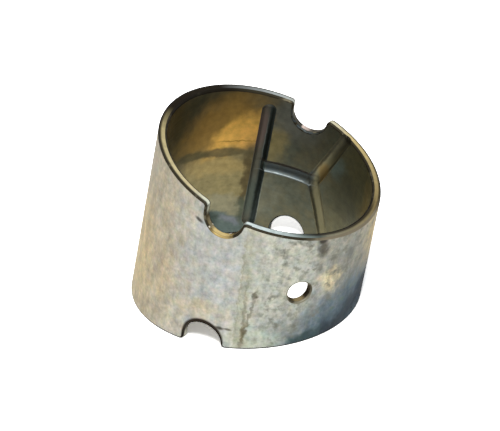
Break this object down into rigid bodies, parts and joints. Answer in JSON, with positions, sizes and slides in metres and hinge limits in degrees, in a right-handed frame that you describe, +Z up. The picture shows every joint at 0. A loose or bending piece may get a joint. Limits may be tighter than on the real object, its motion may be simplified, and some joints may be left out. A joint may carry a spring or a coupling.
{
  "type": "engine bearing bush",
  "caption": "Thin-walled round engine bearing bush with slanted ends, half-round end notches, an oil hole through the wall and oil grooves in its bronze-lined bore.",
  "frame": {"origin": "where the bore axis meets the lower end face, which lies in the XY plane", "axes": "+Z up from the lower end face; +X towards the short side, the way the bore leans; +Y along the line through the end notches"},
  "size_m": [0.0551, 0.05, 0.0425],
  "materials": {
    "bearing_metal": "dull worn steel outside, dark olive bronze lining in the bore"
  },
  "bodies": {
    "root": {"bearing_shell": "bearing_metal"}
  },
  "joints": []
}
